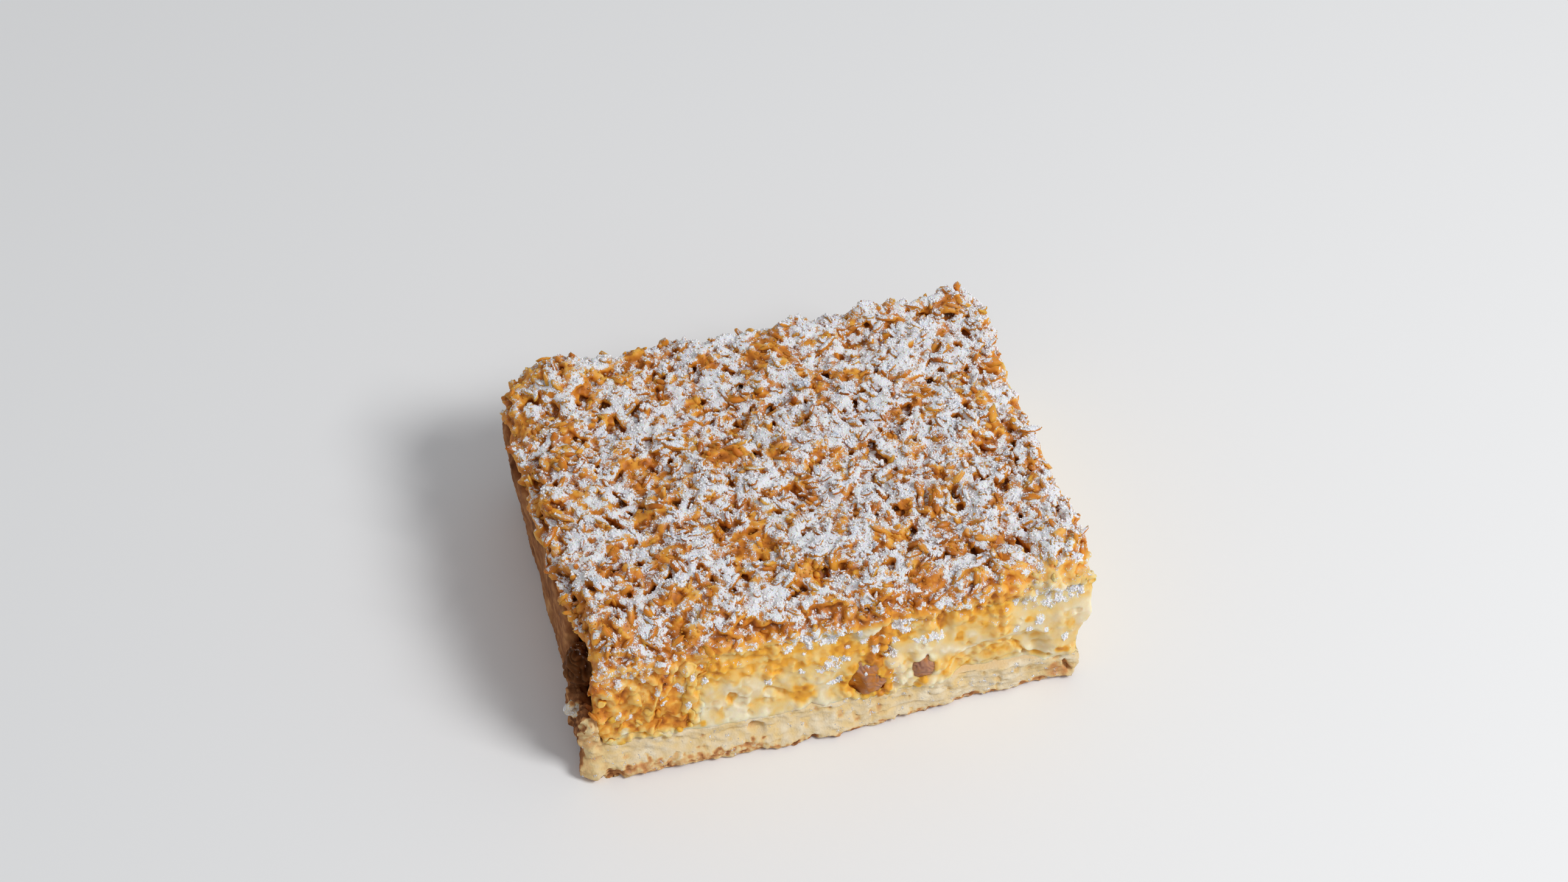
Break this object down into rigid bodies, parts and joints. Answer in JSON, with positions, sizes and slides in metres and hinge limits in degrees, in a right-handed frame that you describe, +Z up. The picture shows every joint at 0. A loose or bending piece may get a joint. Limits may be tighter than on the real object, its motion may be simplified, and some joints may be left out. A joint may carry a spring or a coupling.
{
  "type": "cheese pie slice",
  "caption": "Rectangular slice of tray-baked cheese pie: pastry base and wall, curd filling with dried fruit, rough grated topping dusted with sugar.",
  "frame": {"origin": "middle of the bounding box on the plane that the slice rests on", "axes": "+Z up, X along the long front cut, -Y towards the front cut; the tray walls are on the -X and +Y sides"},
  "size_m": [0.0954, 0.0776, 0.0321],
  "materials": {
    "baked_pastry": "dry, crumbly, browned underneath",
    "curd_cheese": "moist, soft, lumpy",
    "baked_shreds": "dry, rough, dusted with sugar",
    "sultana_skin": "wrinkled, slightly glossy",
    "sultana_skin_dull": "wrinkled, crumbs on it",
    "raisin_skin": "wrinkled, dark",
    "powdered_sugar": "dry, matt powder in small clumps"
  },
  "bodies": {
    "root": {"pastry_crust": "baked_pastry", "cheese_filling": "curd_cheese", "grated_topping": "baked_shreds", "sultana_large": "sultana_skin", "sultana_small": "sultana_skin_dull", "raisin_left": "raisin_skin"}
  },
  "joints": []
}
